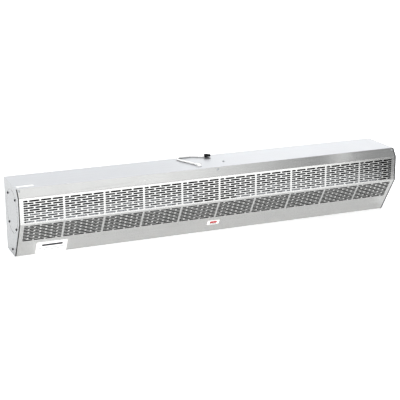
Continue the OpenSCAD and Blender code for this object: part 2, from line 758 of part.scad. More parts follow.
// Half bands over the front of the rubber rings, with an ear on each cheek edge
module ring_clamps() color("silver") both_ends() along_x(-ring_mid - clamp_w / 2, -ring_mid + clamp_w / 2) {
  difference() {
    translate([axis_y, axis_z]) circle(r = ring_r + clamp_t);
    translate([axis_y, axis_z]) circle(r = ring_r);
    translate([axis_y, axis_z - 2 * ring_r]) square([2 * ring_r, 4 * ring_r]);
  }
  for (s = [-1, 1]) translate([axis_y - clamp_t, axis_z + s * (ring_r + clamp_ear / 2) - clamp_ear / 2])
    square([clamp_t, clamp_ear]);
}

// ---- Wiring ----

module terminal_box() color("silver") difference() {
  translate([box_x[0], box_y[0], box_top - box_h]) cube([box_x[1] - box_x[0], box_y[1] - box_y[0], box_h]);
  translate([box_x[0] + box_t, box_y[0] + box_t, box_top - box_h - past])
    cube([box_x[1] - box_x[0] - 2 * box_t, box_y[1] - box_y[0] - 2 * box_t, box_h - box_t + past]);
  lead_way(box_top, box_t);
}

module terminal_box_lid() color("silver") translate([box_x[0], box_y[0], box_top - box_h - box_t])
  cube([box_x[1] - box_x[0], box_y[1] - box_y[0], box_t]);

// A barrier strip under the box's top, with a screw between each pair of walls
module terminal_block() {
  top = box_top - box_t;
  y0 = (box_y[0] + box_y[1] - block_w) / 2;
  color("black") {
    translate([block_x, y0, top - block_base]) cube([pole_n * pole_l + block_wall, block_w, block_base]);
    for (k = [0:pole_n]) translate([block_x + k * pole_l, y0, top - block_base - block_wall_h])
      cube([block_wall, block_w, block_wall_h + fuse]);
  }
}

module motor_lead() color("black") tube([for (p = loom_yz) [loom_x, p[0], p[1]]], loom_d, 8, [1, 0, 0]);

module capacitor() color("silver") {
  translate([-cap_l / 2, cap_y, cap_z]) rotate([0, 90, 0]) cylinder(h = cap_l, r = cap_r);
  for (s = [-1, 1]) translate([cap_l / 2, cap_y - tab_t / 2, cap_z + s * tab_pitch / 2 - tab_w / 2])
    cube([tab_l, tab_t, tab_w]);
}

// A band round the capacitor, with a foot on the back panel
module capacitor_strap() color("gainsboro") along_x(-cap_strap_w / 2, cap_strap_w / 2) {
  translate([cap_y, cap_z]) difference() {
    circle(r = cap_r + clamp_t);
    circle(r = cap_r);
  }
  translate([back_y - skin_t - clamp_t, cap_z]) square([clamp_t, cap_r + cap_strap_foot]);
}

// ---- Lead on the top panel ----

// A low elbow that turns the lead flat as it leaves its hole, with a tapered end against kinks
module lead_bushing() color("whitesmoke") {
  body_r = lead_in_r + bushing_skirt;
  foot_z = box_top - box_t - bushing_foot;
  translate([lead_hole[0], lead_hole[1], foot_z]) cylinder(h = case_h - foot_z, r = lead_in_r);
  translate([lead_hole[0], lead_hole[1], case_h]) {
    cylinder(h = bushing_flange_t, r = lead_in_r + bushing_flange_w);
    cylinder(h = lead_z - case_h, r = body_r);
    translate([0, 0, lead_z - case_h]) sphere(r = body_r);
  }
  difference() {
    translate([lead_hole[0], lead_hole[1], lead_z]) rotate([0, 90, lead_start_a])
      cylinder(h = bushing_l, r1 = body_r, r2 = lead_d / 2 + bushing_tip);
    translate([lead_hole[0] - 2 * bushing_l, lead_hole[1] - 2 * bushing_l, case_h - body_r])
      cube([4 * bushing_l, 4 * bushing_l, body_r]);
  }
}

module lead() color("white") tube([for (p = lead_xy) [p[0], p[1], lead_z]], lead_d, 10, [0, 0, 1]);

// Moves to the lead's end, with +Z along the lead's last heading
module at_lead_end()
  translate([lead_xy[lead_last][0], lead_xy[lead_last][1], case_h + socket_d / 2 + seat_gap])
    rotate([0, 90, lead_end_a]) children();

// The larger half of the connector, with a ribbed grip
module connector_socket() color("black") at_lead_end() {
  cylinder(h = socket_l, r = socket_d / 2 - grip_depth);
  for (k = [0:grip_n - 1]) translate([0, 0, grip_x + k * grip_pitch]) cylinder(h = grip_w, d = socket_d);
}

// The smaller half, pushed into the larger one
module connector_plug() color("black") at_lead_end() translate([0, 0, socket_l]) {
  cylinder(h = plug_l - plug_nose, d = plug_d);
  translate([0, 0, plug_l - plug_nose]) cylinder(h = plug_nose, d1 = plug_d, d2 = plug_d - plug_nose);
}

front_cover();
top_panel();
back_panel();
bottom_panel();
left_end_plate();
right_end_plate();
end_plate_screws();
cover_screws();
left_bearing_plate();
right_bearing_plate();
bearing_rings();
bearing_bushes();
left_scroll();
right_scroll();
left_tongue();
right_tongue();
left_outer_side();
left_inner_side();
right_inner_side();
right_outer_side();
nozzle_front_wall();
nozzle_rear_wall();
nozzle_bridge();
vane_brackets();
vane_bushes();
vane_hanger();
front_vane();
rear_vane();
left_wheel();
right_wheel();
left_drive_hub();
right_drive_hub();
left_stub_shaft();
right_stub_shaft();
motor_shaft();
motor_rotor();
motor_shell();
left_motor_bell();
right_motor_bell();
motor_rings();
motor_cradle();
ring_clamps();
terminal_box();
terminal_box_lid();
terminal_block();
motor_lead();
capacitor();
capacitor_strap();
lead_bushing();
lead();
connector_socket();
connector_plug();
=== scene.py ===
# %% [markdown]
# # An air curtain in brushed stainless steel
# This lesson dresses a finished set of machine parts for a studio picture. The
# parts come in as fixed meshes: a long sheet-metal case, two cross-flow wheels,
# a motor and two air vanes. Their shapes stay as they are. What is added here is
# the finish of every surface, the small fasteners and labels, the white lead on
# the top, a floor, the lights and a camera.

# %% Load the parts
import math

import bmesh
import bpy
from mathutils import Matrix, Vector


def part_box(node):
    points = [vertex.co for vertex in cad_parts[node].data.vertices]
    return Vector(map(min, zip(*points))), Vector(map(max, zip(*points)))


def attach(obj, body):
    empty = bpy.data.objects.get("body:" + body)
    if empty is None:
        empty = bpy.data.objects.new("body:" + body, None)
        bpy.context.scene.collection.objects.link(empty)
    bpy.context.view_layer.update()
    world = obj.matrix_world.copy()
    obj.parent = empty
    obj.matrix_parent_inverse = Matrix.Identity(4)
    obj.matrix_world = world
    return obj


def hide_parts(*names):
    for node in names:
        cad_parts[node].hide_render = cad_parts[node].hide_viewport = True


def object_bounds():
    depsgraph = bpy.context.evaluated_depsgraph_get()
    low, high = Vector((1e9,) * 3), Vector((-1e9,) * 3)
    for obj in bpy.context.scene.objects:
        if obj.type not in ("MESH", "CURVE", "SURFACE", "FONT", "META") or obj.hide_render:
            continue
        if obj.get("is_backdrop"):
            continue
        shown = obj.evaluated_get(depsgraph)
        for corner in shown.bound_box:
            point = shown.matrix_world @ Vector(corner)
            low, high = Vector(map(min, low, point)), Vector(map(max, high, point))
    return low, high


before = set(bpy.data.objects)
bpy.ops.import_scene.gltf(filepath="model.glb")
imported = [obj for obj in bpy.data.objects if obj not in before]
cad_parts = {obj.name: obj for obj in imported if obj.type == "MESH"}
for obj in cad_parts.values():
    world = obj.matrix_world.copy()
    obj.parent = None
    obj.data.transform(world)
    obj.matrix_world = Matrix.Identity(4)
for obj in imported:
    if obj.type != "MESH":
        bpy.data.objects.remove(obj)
parts_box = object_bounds()
MM = 0.001

# %% [markdown]
# ## The camera
# A picture of a long object is set by where the eye stands. Here it stands left
# of the case, in front of it and above it, four metres away, and looks through a
# long lens. The camera's axes are worked out from three angles: how far it is
# turned, how far it looks down and a trace of roll. That is easier to adjust than
# a rotation typed in by hand.

# %% Camera
EYE = Vector((-1.5764, -3.7410, 1.3047))
TURN, DIP, ROLL = (math.radians(a) for a in (-22.3766, 16.2645, -0.3464))
LENS_MM = 99.45
SENSOR_MM = 36.0

forward = Vector((-math.sin(TURN) * math.cos(DIP), math.cos(TURN) * math.cos(DIP), -math.sin(DIP)))
level = Vector((math.cos(TURN), math.sin(TURN), 0))
above = level.cross(forward)
right = math.cos(ROLL) * level + math.sin(ROLL) * above
up = math.cos(ROLL) * above - math.sin(ROLL) * level

lens = bpy.data.cameras.new("camera")
lens.lens = LENS_MM
lens.sensor_width = SENSOR_MM
camera = bpy.data.objects.new("camera", lens)
camera.matrix_world = Matrix.Translation(EYE) @ Matrix((right, up, -forward)).transposed().to_4x4()
bpy.context.scene.collection.objects.link(camera)
bpy.context.scene.camera = camera
print("camera looks along", [round(c, 3) for c in forward])

# %% [markdown]
# ## Tools for making pieces
# Nearly every small piece here is a row of rings along a line: a screw, a cable
# bushing, a connector. With `lathed` such a piece is written as its radii along
# its axis, the way it is turned on a lathe. Others put copies of a mesh in many
# places, cut one mesh out of another and make thin plates with round corners.


# %% Mesh helpers
QUARTER = range(0, 91, 15)  # the degrees at which a quarter of a circle is drawn


def piece(name, mesh, place=None):
    """An object that shows a mesh at a placement, riding on the case."""
    made = bpy.data.objects.new(name, mesh)
    bpy.context.scene.collection.objects.link(made)
    if place:
        made.matrix_world = place
    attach(made, "case")
    return made


def meshed(name, form):
    """The mesh of a form under construction. The form itself is freed."""
    mesh = bpy.data.meshes.new(name)
    form.to_mesh(mesh)
    form.free()
    return mesh


def joined(name, form, rings, smooth):
    """A closed mesh from rings of points: each ring is joined to the next and both ends are filled."""
    for low, high in zip(rings, rings[1:]):
        for k, point in enumerate(low):
            n = (k + 1) % len(low)
            form.faces.new((point, low[n], high[n], high[k])).smooth = smooth
    form.faces.new(rings[0][::-1])
    form.faces.new(rings[-1])
    return meshed(name, form)


def lathed(name, outline, sides):
    """A turned mesh along +Z from an outline of (height, radius) pairs in millimetres."""
    form = bmesh.new()
    start = Vector((1, 1, 0)).normalized()
    across = Vector((-1, 1, 0)).normalized()
    rings = []
    for height, radius in outline:
        ring = []
        for k in range(sides):
            angle = math.tau * k / sides
            spoke = math.cos(angle) * start + math.sin(angle) * across
            ring.append(form.verts.new((Vector((0, 0, height)) + radius * spoke) * MM))
        rings.append(ring)
    return joined(name, form, rings, smooth=True)


def repeated(name, mesh, places):
    """One mesh that holds a copy of another at each placement matrix."""
    whole = bmesh.new()
    for place in places:
        copy = mesh.copy()
        copy.transform(place)
        whole.from_mesh(copy)
        bpy.data.meshes.remove(copy)
    return meshed(name, whole)


def cut(name, mesh, cutter):
    """A new mesh: the first one with the second one taken away."""
    body = bpy.data.objects.new(name, mesh)
    tool = bpy.data.objects.new(name + "_tool", cutter)
    for thing in (body, tool):
        bpy.context.scene.collection.objects.link(thing)
    knife = body.modifiers.new("cut", "BOOLEAN")
    knife.operation = "DIFFERENCE"
    knife.solver = "EXACT"
    knife.object = tool
    graph = bpy.context.evaluated_depsgraph_get()
    result = bpy.data.meshes.new_from_object(body.evaluated_get(graph))
    for thing in (body, tool):
        bpy.data.objects.remove(thing)
    return result


def plate(name, width, height, thick, corner, edge=0.0):
    """A plate round (0, 0) on the plane Z = 0, with round corners and its top edge bevelled."""
    outline = []
    for quarter, (sx, sy) in enumerate(((1, 1), (-1, 1), (-1, -1), (1, -1))):
        for degrees in QUARTER:
            angle = math.radians(90 * quarter + degrees)
            x = sx * (width / 2 - corner) + corner * math.cos(angle)
            y = sy * (height / 2 - corner) + corner * math.sin(angle)
            outline.append((x * MM, y * MM))
    form = bmesh.new()
    levels = [(0.0, 1.0), (thick - edge, 1.0), (thick, 1.0 - 2 * edge / height)]
    rings = []
    for z, share in levels:
        inward = 1.0 - (1.0 - share) * height / width
        rings.append([form.verts.new((x * inward, y * share, z * MM)) for x, y in outline])
    return joined(name, form, rings, smooth=False)


print("mesh helpers ready")

# %% [markdown]
# ## The lead on the top
# A white lead as thick as a pencil comes out of the top sheet, runs back, bends
# round along the rear edge and ends in a black connector that was left unplugged.
# It is one curve with a round bevel. The points are a listed route; the
# automatic handles make it a smooth line that lies on the sheet.
# Blender grows a curve's bounding box by the radius of its points, whatever the
# bevel. So each point has the lead's own radius, and the bevel it multiplies is 1.

# %% Lead
TOP_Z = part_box("top_panel")[1].z / MM
LEAD_D = 7.0
SEAT_GAP = 0.3
LEAD_XY = [(-62, -18), (-67.5, -5), (-73, 8.5), (-78.5, 21.5), (-84, 34.5), (-89.5, 47.5), (-94.5, 60.5),
           (-97, 74), (-92.5, 87), (-82.5, 96), (-69, 99.5), (-52, 99.5), (-35, 99.5), (-22, 96.5),
           (-11, 87.5), (-0.5, 79), (13, 75.5)]
LEAD_Z = TOP_Z + LEAD_D / 2 + SEAT_GAP
lead_route = [Vector((x, y, LEAD_Z)) * MM for x, y in LEAD_XY]

line = bpy.data.curves.new("lead_sheath", "CURVE")
line.dimensions = "3D"
line.bevel_depth = 1.0
line.bevel_resolution = 6
line.resolution_u = 8
line.use_fill_caps = True
run = line.splines.new("BEZIER")
run.bezier_points.add(len(lead_route) - 1)
for knot, point in zip(run.bezier_points, lead_route):
    knot.co = point
    knot.radius = LEAD_D / 2 * MM
    knot.handle_left_type = knot.handle_right_type = "AUTO"
lead = piece("lead_sheath", line)
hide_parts("lead")
print("lead route measures", round(sum((b - a).length for a, b in zip(lead_route, lead_route[1:])), 4), "m")

# %% [markdown]
# ## Connector halves
# At the lead's end sits a two-part connector, black moulded nylon. Each half is
# turned: a stepped body, a few grip rings with rounded shoulders, a collar where
# the halves meet and a blind rear end. The outline stays within the plain
# cylinders of the machine parts, so nothing grows.


# %% Connector
def aimed(place, heading):
    """A placement that turns +Z to a heading in the horizontal plane, in radians."""
    turn = Matrix.Rotation(heading, 4, "Z") @ Matrix.Rotation(math.pi / 2, 4, "Y")
    return Matrix.Translation(Vector(place) * MM) @ turn


def grips(start, count, pitch, high, low):
    """The outline of moulded grip rings, as (height, radius) pairs."""
    shoulder = 0.9 * high + 0.1 * low
    shape = [(0.0, low), (0.12, shoulder), (0.24, high), (0.52, high), (0.64, shoulder), (0.76, low)]
    return [(start + (k + t) * pitch, r) for k in range(count) for t, r in shape]


SOCKET_D, SOCKET_L = 13.0, 13.0
PLUG_D, PLUG_L = 10.5, 11.0
last_step = lead_route[-1] - lead_route[-2]
lead_heading = math.atan2(last_step.y, last_step.x)
joint_z = TOP_Z + SOCKET_D / 2 + SEAT_GAP
end_x, end_y = LEAD_XY[-1]

socket_outline = [(0, 3.2), (0.3, 5.0), (1.2, 5.6)] + grips(1.5, 3, 3.2, SOCKET_D / 2, 5.7)
socket_outline += [(11.2, 5.7), (11.5, 6.2), (12.7, 6.2), (SOCKET_L, 5.9)]
socket = piece("connector_socket_shell", lathed("connector_socket_shell", socket_outline, 40),
               aimed((end_x, end_y, joint_z), lead_heading))
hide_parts("connector_socket")

plug_outline = [(0, 4.6), (0.2, 5.0), (1.2, PLUG_D / 2), (2.6, PLUG_D / 2), (2.9, 4.7)]
plug_outline += grips(3.2, 3, 1.8, 5.1, 4.4) + [(8.8, 4.5), (9.6, 4.2), (10.5, 3.9), (PLUG_L, 3.4)]
reach = Vector((math.cos(lead_heading), math.sin(lead_heading), 0)) * SOCKET_L
plug = piece("connector_plug_shell", lathed("connector_plug_shell", plug_outline, 40),
             aimed((end_x + reach.x, end_y + reach.y, joint_z), lead_heading))
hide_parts("connector_plug")

print("connector heads", round(math.degrees(lead_heading), 1), "degrees from +X")

# %% [markdown]
# ## The bushing that the lead comes out of
# A bushing moulded on the sheath keeps the lead from kinking at its hole. It has a
# flange on the sheet, a dome in which the lead turns flat, and a tapered tail with
# ring-shaped grooves that let it flex. The tail is thicker than the lead, so where
# its points would go through the sheet they are lifted onto it, and that gives it
# the flat foot of the moulded one.


# %% Bushing
BUSHING_L = 22.0
BUSHING_R = LEAD_D / 2 + 2.5
FLANGE_W, FLANGE_T = 3.0, 1.5
FLEX_START, FLEX_PITCH, FLEX_W, FLEX_COUNT = 4.0, 2.9, 0.9, 6
first_step = lead_route[1] - lead_route[0]
exit_heading = math.atan2(first_step.y, first_step.x)
exit_way = Vector((math.cos(exit_heading), math.sin(exit_heading), 0))
hole = Vector((*LEAD_XY[0], TOP_Z)) - BUSHING_L * exit_way

stem, rim = BUSHING_R - 1.0, BUSHING_R + FLANGE_W
dome = [(-4.0, stem), (0.0, stem), (0.0, rim - 0.2), (0.3, rim), (FLANGE_T - 0.4, rim), (FLANGE_T, rim - 0.4),
        (FLANGE_T, BUSHING_R + 0.6), (FLANGE_T + 0.4, BUSHING_R)]
for degrees in QUARTER:
    angle = math.radians(degrees)
    dome.append((LEAD_Z - TOP_Z + BUSHING_R * math.sin(angle), max(BUSHING_R * math.cos(angle), 0.2)))
tail = [(0.0, BUSHING_R - 0.2)]
for k in range(FLEX_COUNT):
    start = FLEX_START + FLEX_PITCH * k
    end = start + FLEX_W
    outer, inner = BUSHING_R - 0.3 - 0.23 * k, BUSHING_R - 1.1 - 0.16 * k
    tail += [(start, outer), (start + 0.15, inner), (end - 0.15, inner), (end, outer)]
tail += [(BUSHING_L - 0.5, LEAD_D / 2 + 1.0), (BUSHING_L, LEAD_D / 2 + 0.7)]

form = bmesh.new()
form.from_mesh(lathed("bushing_dome", dome, 48))
form.transform(Matrix.Translation(hole * MM))
tail_mesh = lathed("bushing_tail", tail, 48)
tail_mesh.transform(aimed((hole.x, hole.y, LEAD_Z), exit_heading))
for vert in tail_mesh.vertices:
    vert.co.z = max(vert.co.z, TOP_Z * MM)
form.from_mesh(tail_mesh)
bushing = piece("lead_bushing_moulding", meshed("lead_bushing_moulding", form))
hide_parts("lead_bushing")
print("bushing stands at", [round(c, 1) for c in hole], "mm")

# %% [markdown]
# ## Colours and nodes
# Colours are written as the eye names them, in hex. Blender's shaders add light,
# so they want linear values, and one function does the turning. A second small
# function adds a node with its values and links, and every material below is
# built with it, so that each recipe reads as a short list of what the finish is.


# %% Colour and node helpers
def linear(colour):
    """A hex colour such as #c8c8c4 as the four linear values that a shader reads."""
    shares = [int(colour[i:i + 2], 16) / 255 for i in (1, 3, 5)]
    return [s / 12.92 if s <= 0.04045 else ((s + 0.055) / 1.055) ** 2.4 for s in shares] + [1.0]


def add(tree, kind, values=None, links=None, **settings):
    """One new node. values fill its inputs, links join sockets to them, settings are its own properties."""
    made = tree.nodes.new(kind)
    for key, value in settings.items():
        setattr(made, key, value)
    for key, value in (values or {}).items():
        made.inputs[key].default_value = value
    for key, socket_from in (links or {}).items():
        tree.links.new(socket_from, made.inputs[key])
    return made


def finish(name, colour, **values):
    """A material with one principled shader: its colour and other uniform values are set on the shader."""
    material = bpy.data.materials.new(name)
    material.use_nodes = True
    tree = material.node_tree
    tree.nodes.clear()
    shader = add(tree, "ShaderNodeBsdfPrincipled", {"Base Color": linear(colour), **values})
    add(tree, "ShaderNodeOutputMaterial", links={"Surface": shader.outputs[0]})
    return material, tree, shader


def noise(tree, size_mm, detail, stretch=(1, 1, 1)):
    """Noise whose blobs are about size_mm across, drawn out along an axis by its stretch."""
    place = add(tree, "ShaderNodeTexCoord")
    scale = [1 / (size_mm * MM * s) for s in stretch]
    sized = add(tree, "ShaderNodeMapping", {"Scale": scale}, {"Vector": place.outputs["Object"]})
    cloud = add(tree, "ShaderNodeTexNoise", {"Scale": 1.0, "Detail": detail}, {"Vector": sized.outputs[0]})
    return cloud.outputs["Fac"]


def spread(tree, source, low, high):
    """The middle of a noise's values, 0.3 to 0.7, drawn out to run from low to high."""
    ends = {"From Min": 0.3, "From Max": 0.7, "To Min": low, "To Max": high}
    return add(tree, "ShaderNodeMapRange", ends, {"Value": source}).outputs[0]


def tint(tree, shader, source, dark, light):
    """The shader's colour runs from one hex colour to another with a noise."""
    share = spread(tree, source, 0.0, 1.0)
    ends = {"A": linear(dark), "B": linear(light)}
    mixed = add(tree, "ShaderNodeMix", ends, {"Factor": share}, data_type="RGBA")
    tree.links.new(mixed.outputs["Result"], shader.inputs["Base Color"])


def relief(tree, shader, source, depth_mm, under=None):
    """Turns a noise into a bump of a real depth, on top of another bump if one is given."""
    links = {"Height": source}
    if under:
        links["Normal"] = under
    bump = add(tree, "ShaderNodeBump", {"Distance": depth_mm * MM, "Strength": 1.0}, links)
    tree.links.new(bump.outputs[0], shader.inputs["Normal"])
    return bump.outputs[0]


print("colour check: #ffffff ->", linear("#ffffff"))

# %% [markdown]
# ## Stainless steel, brushed and plain
# The front cover is stainless sheet with a brushed grain along the case. A real
# grain line is about a tenth of a millimetre wide, far finer than a pixel here,
# so two grains are drawn: a fine one that shows near by and a coarse one, a few
# millimetres wide, that shows in the whole picture. Fine scratches along X smear
# reflections across X, and the shader's anisotropy does that without a scratch.
# Sheet this long is never quite flat, so a faint broad bump lets reflections wander.


# %% Stainless steel
GRAIN_MM, STREAK_MM, SMUDGE_MM, WAVE_MM = 0.5, 3.0, 60.0, 260.0
GRAIN_DEPTH, WAVE_DEPTH = 0.01, 0.3


def stainless(name, light, dark, rough, along, anisotropy):
    """Stainless sheet with its grain along one axis, where along holds the stretch of the grain."""
    values = {"Metallic": 1.0, "Roughness": rough, "Anisotropic": anisotropy}
    material, tree, shader = finish(name, light, **values)
    grain = noise(tree, GRAIN_MM, 3.0, along)
    streaks = noise(tree, STREAK_MM, 3.0, along)
    smudges = noise(tree, SMUDGE_MM, 4.0)
    tint(tree, shader, streaks, dark, light)
    by_streaks = spread(tree, streaks, rough - 0.015, rough + 0.015)
    by_smudges = spread(tree, smudges, -0.005, 0.01)
    worn = add(tree, "ShaderNodeMath", links={0: by_streaks, 1: by_smudges}, operation="ADD")
    tree.links.new(worn.outputs[0], shader.inputs["Roughness"])
    waves = relief(tree, shader, noise(tree, WAVE_MM, 0.0), WAVE_DEPTH)
    relief(tree, shader, grain, GRAIN_DEPTH, waves)
    if anisotropy:
        turned = add(tree, "ShaderNodeTangent", direction_type="RADIAL", axis="X")
        tree.links.new(turned.outputs[0], shader.inputs["Tangent"])
    return material


ALONG_X = (120, 1, 1)
ALONG_Z = (1, 1, 60)
brushed_stainless = stainless("brushed_stainless", "#d0d0cf", "#cbcbca", 0.20, ALONG_X, 0.97)
mill_stainless = stainless("mill_stainless", "#cfd0d2", "#cacbcd", 0.40, ALONG_X, 0.0)
plate_stainless = stainless("plate_stainless", "#b8b9ba", "#b2b3b4", 0.26, ALONG_Z, 0.0)
print("stainless finishes:", brushed_stainless.name, mill_stainless.name, plate_stainless.name)

# %% [markdown]
# ## Galvanised steel
# The housings of the wheels, the nozzle and the brackets are hot-dip galvanised.
# Zinc freezes in crystals, the spangle, about ten millimetres across, and each
# crystal throws the light its own way. A texture of cells gives every crystal its
# own grey and its own roughness. All the greys are darker than fresh zinc: painted
# shade for the inside of the case, seen through the grille.


# %% Galvanised steel
SPANGLE_MM = 10


def galvanised():
    """Sheet with a spangle: each crystal has its own grey and roughness, all greys darkened as painted shade
    inside the case.
    """
    # Painted shade: this grey and the spangle's greys below are darker than fresh zinc.
    material, tree, shader = finish("shade_darkened_galvanised", "#85888b", Metallic=1.0, Roughness=0.42)
    place = add(tree, "ShaderNodeTexCoord").outputs["Object"]
    cells = add(tree, "ShaderNodeTexVoronoi", {"Scale": 1 / (SPANGLE_MM * MM)}, {"Vector": place})
    crystal = add(tree, "ShaderNodeSeparateColor", links={"Color": cells.outputs["Color"]})
    tint(tree, shader, crystal.outputs[0], "#777b7e", "#929699")
    tree.links.new(spread(tree, crystal.outputs[1], 0.32, 0.50), shader.inputs["Roughness"])
    relief(tree, shader, noise(tree, 1.5, 3.0), 0.02)
    return material


shade_darkened_galvanised = galvanised()
print("galvanised steel: spangle of", SPANGLE_MM, "mm")

# %% [markdown]
# ## Aluminium
# The wheels' blades and discs are mill-finish aluminium, rolled, with faint lines
# along the strip. The vanes are extruded and anodised: the lines are deeper, and
# the oxide makes the metal a little greyer and more even. The motor's end bells
# are die-cast, which leaves a fine pebbled skin. One function serves all four,
# because they differ only in colour, roughness and the size of their grain.


# %% Aluminium
def aluminium(name, light, dark, rough, size_mm, along, depth_mm):
    """Aluminium with a grain of a given size, stretch and depth."""
    material, tree, shader = finish(name, light, Metallic=1.0, Roughness=rough)
    grain = noise(tree, size_mm, 3.0, along)
    tint(tree, shader, grain, dark, light)
    tree.links.new(spread(tree, grain, rough - 0.05, rough + 0.06), shader.inputs["Roughness"])
    relief(tree, shader, grain, depth_mm)
    return material


mill_aluminium = aluminium("mill_aluminium", "#d6d8db", "#c8cace", 0.34, 0.8, ALONG_X, 0.02)
anodised_aluminium = aluminium("anodised_aluminium", "#cdd0d3", "#c2c5c9", 0.30, 0.5, ALONG_X, 0.01)
cast_aluminium = aluminium("cast_aluminium", "#b4b6b9", "#a2a4a8", 0.55, 1.2, (1, 1, 1), 0.08)
drawn_aluminium = aluminium("drawn_aluminium", "#d2d4d6", "#c6c8cb", 0.30, 0.4, ALONG_X, 0.01)
print("aluminium finishes: 4")

# %% [markdown]
# ## Steel, bronze and enamel
# Shafts are ground, so they shine and are only faintly grained. Clamps and screws
# are zinc plated. Sintered bronze is dull and full of pores that hold oil.
# The motor and its cradle are coated: a hard dark enamel with the slight orange
# peel that a sprayed coat dries with.


# %% Steel, bronze and enamel
def plated(name, light, dark, rough, size_mm, depth_mm, metallic=1.0, coat=0.0):
    """A metal part or a sprayed one: patchy in colour, with a skin of its own grain."""
    values = {"Metallic": metallic, "Roughness": rough, "Coat Weight": coat, "Coat Roughness": 0.15}
    material, tree, shader = finish(name, light, **values)
    tint(tree, shader, noise(tree, 6.0, 4.0), dark, light)
    skin = noise(tree, size_mm, 2.0)
    tree.links.new(spread(tree, skin, rough - 0.04, rough + 0.06), shader.inputs["Roughness"])
    relief(tree, shader, skin, depth_mm)
    return material


ground_steel = plated("ground_steel", "#bfc1c3", "#b3b5b8", 0.20, 0.4, 0.004)
zinc_plate = plated("zinc_plate", "#c9cccd", "#b5b9bc", 0.30, 0.6, 0.01)
dark_zinc = plated("dark_zinc_plate", "#3c3d40", "#303134", 0.34, 0.6, 0.01)
sintered_bronze = plated("sintered_bronze", "#a07c4c", "#8a6a40", 0.48, 0.5, 0.03)
motor_enamel = plated("motor_enamel", "#1f2023", "#1a1b1d", 0.38, 2.0, 0.02, metallic=0.0, coat=0.4)
print("steel, bronze and enamel ready")

# %% [markdown]
# ## Rubber and plastics
# Black rubber carries the bearings and the motor; it is matt and slightly grainy.
# The vane bushes are natural nylon, cream and a little translucent. The lead's
# sheath and its bushing are soft white PVC, and the connector and the terminal
# block are moulded in black nylon with a fine eroded texture.


# %% Rubber and plastics
def moulded(name, light, dark, rough, ior, size_mm, depth_mm, glow=0.0):
    """A moulded or extruded plastic or rubber. glow is the share of light that goes through its skin."""
    values = {"Roughness": rough, "IOR": ior, "Subsurface Weight": glow, "Subsurface Scale": 2 * MM,
              "Subsurface Radius": (1, 1, 1)}
    material, tree, shader = finish(name, light, **values)
    skin = noise(tree, size_mm, 3.0)
    tint(tree, shader, noise(tree, 9.0, 2.0), dark, light)
    tree.links.new(spread(tree, skin, rough - 0.05, rough + 0.05), shader.inputs["Roughness"])
    relief(tree, shader, skin, depth_mm)
    return material


rubber = moulded("black_rubber", "#242425", "#1b1b1c", 0.72, 1.52, 0.8, 0.03)
nylon = moulded("natural_nylon", "#e8e2d2", "#ded7c4", 0.42, 1.53, 1.0, 0.01, glow=0.1)
black_nylon = moulded("black_nylon", "#1a1a1c", "#121214", 0.40, 1.53, 0.5, 0.02)
white_pvc = moulded("white_pvc", "#f5f5f4", "#ededeb", 0.34, 1.53, 1.5, 0.01, glow=0.35)
print("rubber and plastics ready")

# %% [markdown]
# ## Dressing the machine parts
# Every part that came in gets one of these finishes. The list below reads like a
# parts list: the finish, and what is made of it. The parts' meshes stay as they
# are; only their material slots are filled.

# %% Finishes on the parts
FINISHES = [
    (brushed_stainless, ["front_cover"]),
    (mill_stainless, ["top_panel", "back_panel", "bottom_panel"]),
    (plate_stainless, ["left_end_plate", "right_end_plate"]),
    (shade_darkened_galvanised, ["left_bearing_plate", "right_bearing_plate", "left_scroll", "right_scroll",
                        "left_tongue", "right_tongue", "left_outer_side", "left_inner_side",
                        "right_inner_side", "right_outer_side", "nozzle_front_wall", "nozzle_rear_wall",
                        "nozzle_bridge", "vane_brackets", "vane_hanger", "terminal_box", "terminal_box_lid"]),
    (mill_aluminium, ["left_wheel", "right_wheel"]),
    (anodised_aluminium, ["front_vane", "rear_vane"]),
    (cast_aluminium, ["left_motor_bell", "right_motor_bell"]),
    (drawn_aluminium, ["capacitor"]),
    (ground_steel, ["left_stub_shaft", "right_stub_shaft", "motor_shaft", "motor_rotor"]),
    (zinc_plate, ["ring_clamps", "capacitor_strap"]),
    (sintered_bronze, ["bearing_bushes"]),
    (motor_enamel, ["motor_shell", "motor_cradle"]),
    (rubber, ["bearing_rings", "motor_rings", "left_drive_hub", "right_drive_hub"]),
    (nylon, ["vane_bushes"]),
    (black_nylon, ["terminal_block", "motor_lead"]),
]
for material, names in FINISHES:
    for name in names:
        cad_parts[name].data.materials.clear()
        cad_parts[name].data.materials.append(material)
print("dressed", sum(len(names) for material, names in FINISHES), "parts")

for thing, material in ((lead, white_pvc), (bushing, white_pvc), (socket, black_nylon), (plug, black_nylon)):
    thing.data.materials.append(material)

# %% [markdown]
# ## Screws
# The case is held by pan-head screws with a cross recess. One screw is turned on
# the lathe function: a domed head, a small flat under it and a shank with thread
# crests. Two crossed bars are then cut out of the head. The mesh is made once and
# copied to every place, and the copies stand for the plain screws.

# %% One screw
HEAD_D, HEAD_H, SHANK_D = 8.0, 2.4, 4.0
RIM_H, DOME_H = HEAD_H * 0.45, HEAD_H * 0.55
FLAT_R, ROUND_R = HEAD_D * 0.32, HEAD_D * 0.18
RECESS = 1.3
THREAD_STEPS, THREAD_DEPTH = 14, 0.35


def pan_screw(length):
    """A screw along +Z whose head stands on the plane Z = 0 and whose shank goes below it."""
    outline = [(-length, SHANK_D * 0.3)]
    for k in range(THREAD_STEPS):
        height = -length * (THREAD_STEPS - 1 - k) / THREAD_STEPS
        outline.append((height, SHANK_D / 2 - THREAD_DEPTH * (k % 2)))
    outline += [(0.0, HEAD_D / 2 - 0.15), (0.2, HEAD_D / 2)]
    for degrees in QUARTER:
        angle = math.radians(degrees)
        outline.append((RIM_H + DOME_H * math.sin(angle), FLAT_R + ROUND_R * math.cos(angle)))
    body = lathed("screw_body", outline, 24)
    bar = plate("screw_bar", HEAD_D * 0.56, 0.9, 2.0, 0.3)
    sunk = Matrix.Translation((0, 0, (HEAD_H - RECESS) * MM))
    for degrees in (20, 110):
        turned = Matrix.Rotation(math.radians(degrees), 4, "Z") @ sunk
        body = cut("screw", body, repeated("turned_bar", bar, [turned]))
    return body


